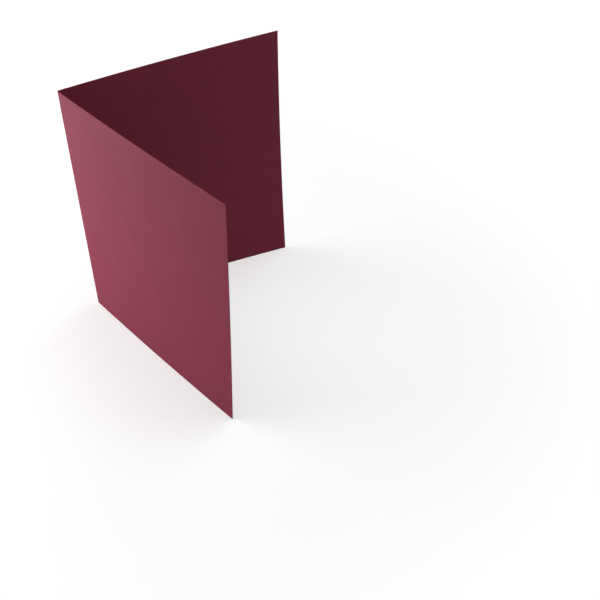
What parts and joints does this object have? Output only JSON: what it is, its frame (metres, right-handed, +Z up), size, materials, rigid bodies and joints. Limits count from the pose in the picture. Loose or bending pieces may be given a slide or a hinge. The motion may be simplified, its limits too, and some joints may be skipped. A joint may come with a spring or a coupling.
{
  "type": "greeting card",
  "caption": "Blank greeting card: one sheet of dyed matte card stock, scored and folded once, standing part open on its lower edges.",
  "frame": {"origin": "middle of the footprint's bounding box, on the surface that the card stands on", "axes": "+Z up along the fold; +X out of the opening between the covers; -Y is the side that the front cover faces, with the fold on its left"},
  "size_m": [0.0904, 0.127, 0.1397],
  "materials": {
    "card_stock": "matte"
  },
  "bodies": {
    "root": {"folded_card": "card_stock"}
  },
  "joints": []
}
